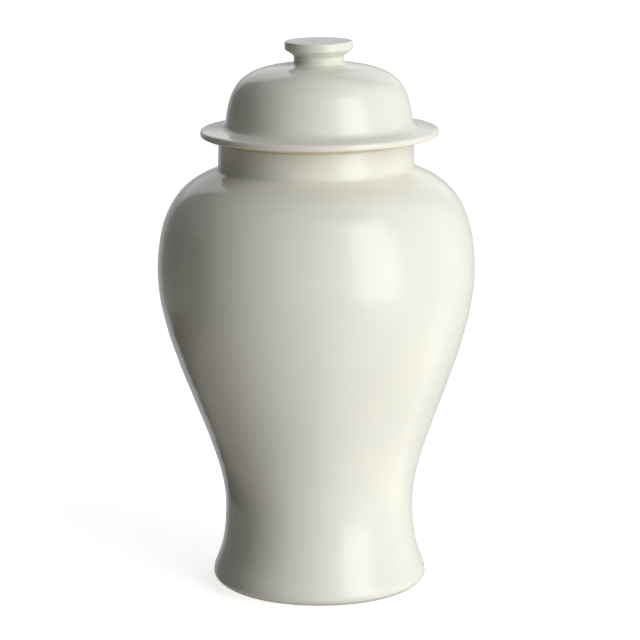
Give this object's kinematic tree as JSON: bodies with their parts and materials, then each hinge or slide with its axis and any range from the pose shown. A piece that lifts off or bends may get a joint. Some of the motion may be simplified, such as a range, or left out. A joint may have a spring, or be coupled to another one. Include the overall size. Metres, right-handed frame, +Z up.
{
  "type": "ginger jar",
  "caption": "Tall lidded ginger jar: flared foot, narrow waist, broad belly, upright neck, and a domed lift-off lid with a flat brim and a button knob.",
  "frame": {"origin": "centre of the foot, on the surface that the jar stands on", "axes": "+Z up along the axis that the jar is turned about; X and Y lie on the surface, and the jar is the same all the way round"},
  "size_m": [0.2588, 0.2588, 0.45],
  "materials": {
    "ivory_glaze": "glossy ivory glaze with a faint grey-green cast, slightly uneven as on hand-turned ware",
    "bare_clay": "unglazed fired clay, warm buff and matt, with fine turning lines"
  },
  "bodies": {
    "jar": {"jar_foot": "ivory_glaze", "jar_lower_body": "ivory_glaze", "jar_upper_body": "ivory_glaze", "jar_neck": "ivory_glaze"},
    "lid": {"lid_cover": "ivory_glaze", "lid_locating_ring": "bare_clay", "lid_knob": "ivory_glaze"}
  },
  "joints": [
    {"name": "lid_lift", "type": "slide", "parent": "jar", "child": "lid", "axis": [0, 0, 1], "range_m": [0, 0.18]}
  ]
}
